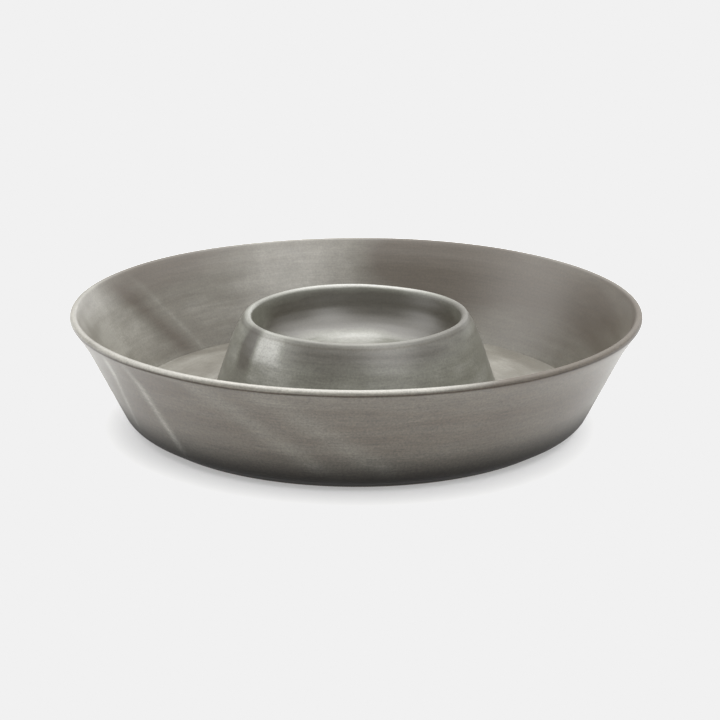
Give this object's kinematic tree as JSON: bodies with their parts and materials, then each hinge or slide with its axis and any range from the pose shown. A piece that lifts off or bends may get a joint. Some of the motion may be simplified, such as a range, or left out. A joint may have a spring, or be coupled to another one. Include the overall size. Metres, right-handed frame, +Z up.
{
  "type": "chip and dip bowl",
  "caption": "Wide flared round bowl for chips on a low foot ring, with a loose cone-sided dip cup standing in a shallow well in the middle of its floor.",
  "frame": {"origin": "on the table, under the centre of the chip bowl's foot ring", "axes": "+Z up along the axis that both pieces are turned about; -Y towards the viewer of the picture, +X to the right"},
  "size_m": [0.332, 0.332, 0.067],
  "materials": {
    "bowl_glaze": "satin",
    "cup_glaze": "satin"
  },
  "bodies": {
    "chip_bowl": {"chip_bowl": "bowl_glaze"},
    "dip_cup": {"dip_cup": "cup_glaze"}
  },
  "joints": [
    {"name": "cup_lift", "type": "slide", "parent": "chip_bowl", "child": "dip_cup", "axis": [0, 0, 1], "range_m": [0, 0.08]}
  ]
}
